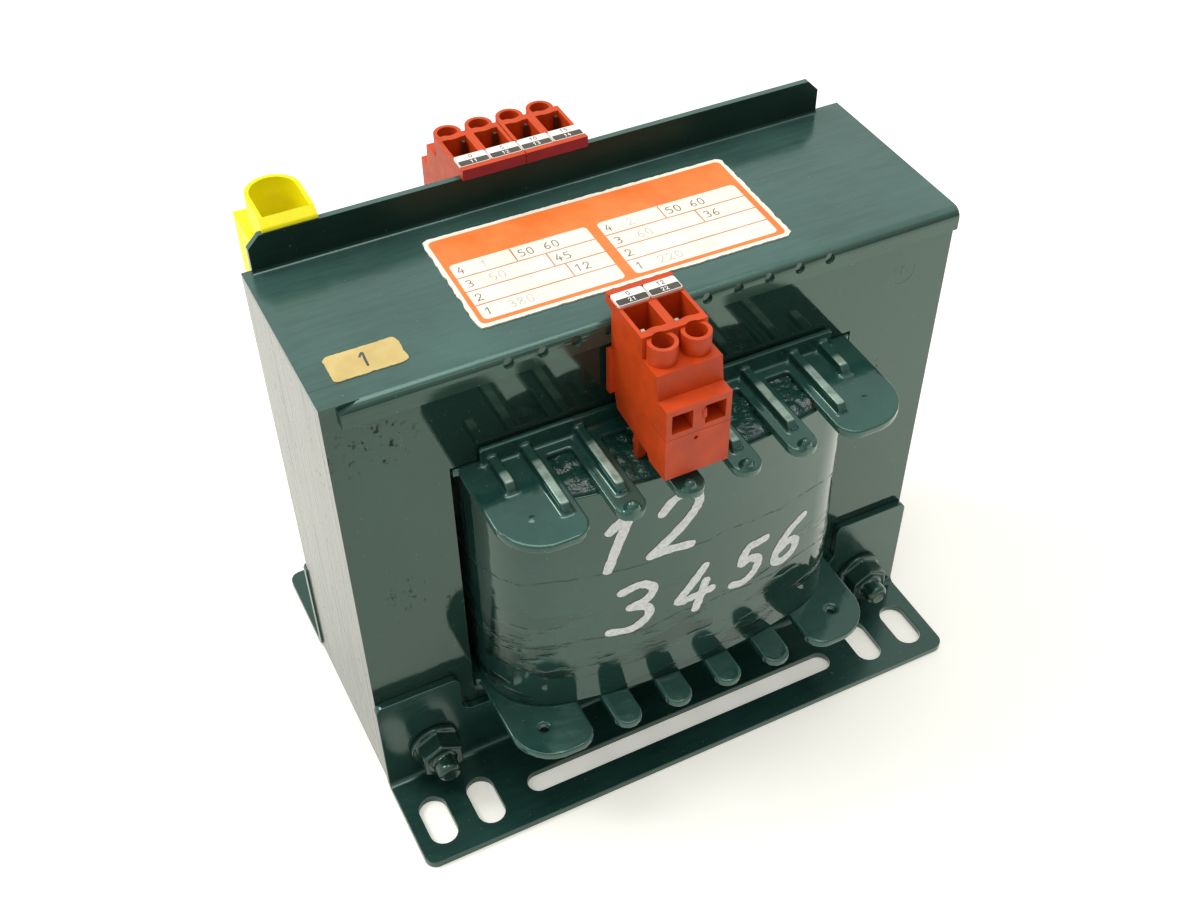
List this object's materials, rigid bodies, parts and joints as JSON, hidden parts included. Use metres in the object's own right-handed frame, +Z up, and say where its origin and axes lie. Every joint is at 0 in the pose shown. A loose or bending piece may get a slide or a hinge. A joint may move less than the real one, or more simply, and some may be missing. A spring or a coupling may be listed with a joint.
{
  "type": "chassis transformer",
  "caption": "Open-frame transformer on slotted feet, with a fixed coil on a laminated core and clip-on screw terminals whose cages rise as the screws turn.",
  "frame": {"origin": "on the floor, under the centre of the core", "axes": "+X along the core with the earth terminal at its low end, +Y towards the two rear terminal blocks, +Z up"},
  "size_m": [0.151, 0.1078, 0.1381],
  "materials": {
    "green_enamel": "gloss",
    "former_enamel": "gloss",
    "wrap_enamel": "gloss",
    "sleeve_plastic": "matte",
    "copper": "satin",
    "insulation": "matte",
    "red_plastic": "satin",
    "yellow_plastic": "satin",
    "tinned_brass": "satin",
    "marker_plastic": "matte",
    "plate_label": "satin",
    "tape": "matte",
    "zinc_steel": "satin"
  },
  "bodies": {
    "chassis": {"core_e_stack": "green_enamel", "core_i_stack": "green_enamel", "terminal_carrier": "green_enamel", "front_foot": "green_enamel", "rear_foot": "green_enamel", "clamp_bolts": "green_enamel", "clamp_nuts": "green_enamel", "clamp_washers": "green_enamel", "bolt_sleeves": "sleeve_plastic", "coil_former": "former_enamel", "primary_winding": "copper", "interwinding_insulation": "insulation", "secondary_winding": "copper", "winding_wrap": "wrap_enamel", "front_leads": "copper", "rear_leads": "copper", "front_terminal_housing": "red_plastic", "rear_terminal_housing_1": "red_plastic", "rear_terminal_housing_2": "red_plastic", "front_contact_bars": "tinned_brass", "rear_contact_bars": "tinned_brass", "front_markers": "marker_plastic", "rear_markers": "marker_plastic", "earth_terminal_housing": "yellow_plastic", "earth_contact_bar": "tinned_brass", "nameplate": "plate_label", "tape_label": "tape"},
    "front_screw_1": {"front_screw_1": "zinc_steel"},
    "front_cage_1": {"front_cage_1": "zinc_steel"},
    "front_screw_2": {"front_screw_2": "zinc_steel"},
    "front_cage_2": {"front_cage_2": "zinc_steel"},
    "rear_screw_1": {"rear_screw_1": "zinc_steel"},
    "rear_cage_1": {"rear_cage_1": "zinc_steel"},
    "rear_screw_2": {"rear_screw_2": "zinc_steel"},
    "rear_cage_2": {"rear_cage_2": "zinc_steel"},
    "rear_screw_3": {"rear_screw_3": "zinc_steel"},
    "rear_cage_3": {"rear_cage_3": "zinc_steel"},
    "rear_screw_4": {"rear_screw_4": "zinc_steel"},
    "rear_cage_4": {"rear_cage_4": "zinc_steel"},
    "earth_screw": {"earth_screw": "zinc_steel"},
    "earth_cage": {"earth_cage": "zinc_steel"}
  },
  "joints": [
    {"name": "front_1_screw_turn", "type": "hinge", "parent": "chassis", "child": "front_screw_1", "pos_m": [-0.00898, -0.04105, 0.1244], "axis": [0, 0, -1], "range_deg": [0, 1728.01]},
    {"name": "front_1_cage_rise", "type": "slide", "parent": "chassis", "child": "front_cage_1", "axis": [0, 0, 1], "range_m": [0, 0.0024]},
    {"name": "front_2_screw_turn", "type": "hinge", "parent": "chassis", "child": "front_screw_2", "pos_m": [-0.00136, -0.04105, 0.1244], "axis": [0, 0, -1], "range_deg": [0, 1728.01]},
    {"name": "front_2_cage_rise", "type": "slide", "parent": "chassis", "child": "front_cage_2", "axis": [0, 0, 1], "range_m": [0, 0.0024]},
    {"name": "rear_1_screw_turn", "type": "hinge", "parent": "chassis", "child": "rear_screw_1", "pos_m": [-0.02055, 0.03955, 0.1298], "axis": [0, 0, -1], "range_deg": [0, 1728.01]},
    {"name": "rear_1_cage_rise", "type": "slide", "parent": "chassis", "child": "rear_cage_1", "axis": [0, 0, 1], "range_m": [0, 0.0024]},
    {"name": "rear_2_screw_turn", "type": "hinge", "parent": "chassis", "child": "rear_screw_2", "pos_m": [-0.01293, 0.03955, 0.1298], "axis": [0, 0, -1], "range_deg": [0, 1728.01]},
    {"name": "rear_2_cage_rise", "type": "slide", "parent": "chassis", "child": "rear_cage_2", "axis": [0, 0, 1], "range_m": [0, 0.0024]},
    {"name": "rear_3_screw_turn", "type": "hinge", "parent": "chassis", "child": "rear_screw_3", "pos_m": [-0.00531, 0.03955, 0.1298], "axis": [0, 0, -1], "range_deg": [0, 1728.01]},
    {"name": "rear_3_cage_rise", "type": "slide", "parent": "chassis", "child": "rear_cage_3", "axis": [0, 0, 1], "range_m": [0, 0.0024]},
    {"name": "rear_4_screw_turn", "type": "hinge", "parent": "chassis", "child": "rear_screw_4", "pos_m": [0.00231, 0.03955, 0.1298], "axis": [0, 0, -1], "range_deg": [0, 1728.01]},
    {"name": "rear_4_cage_rise", "type": "slide", "parent": "chassis", "child": "rear_cage_4", "axis": [0, 0, 1], "range_m": [0, 0.0024]},
    {"name": "earth_screw_turn", "type": "hinge", "parent": "chassis", "child": "earth_screw", "pos_m": [-0.06295, 0.0328, 0.1323], "axis": [0, 0, -1], "range_deg": [0, 1440.01]},
    {"name": "earth_cage_rise", "type": "slide", "parent": "chassis", "child": "earth_cage", "axis": [0, 0, 1], "range_m": [0, 0.0028]}
  ],
  "couplings": [
    {"joint": "front_1_screw_turn", "follows": "front_1_cage_rise", "rad_per_m": 12566},
    {"joint": "front_2_screw_turn", "follows": "front_2_cage_rise", "rad_per_m": 12566},
    {"joint": "rear_1_screw_turn", "follows": "rear_1_cage_rise", "rad_per_m": 12566},
    {"joint": "rear_2_screw_turn", "follows": "rear_2_cage_rise", "rad_per_m": 12566},
    {"joint": "rear_3_screw_turn", "follows": "rear_3_cage_rise", "rad_per_m": 12566},
    {"joint": "rear_4_screw_turn", "follows": "rear_4_cage_rise", "rad_per_m": 12566},
    {"joint": "earth_screw_turn", "follows": "earth_cage_rise", "rad_per_m": 8976}
  ]
}
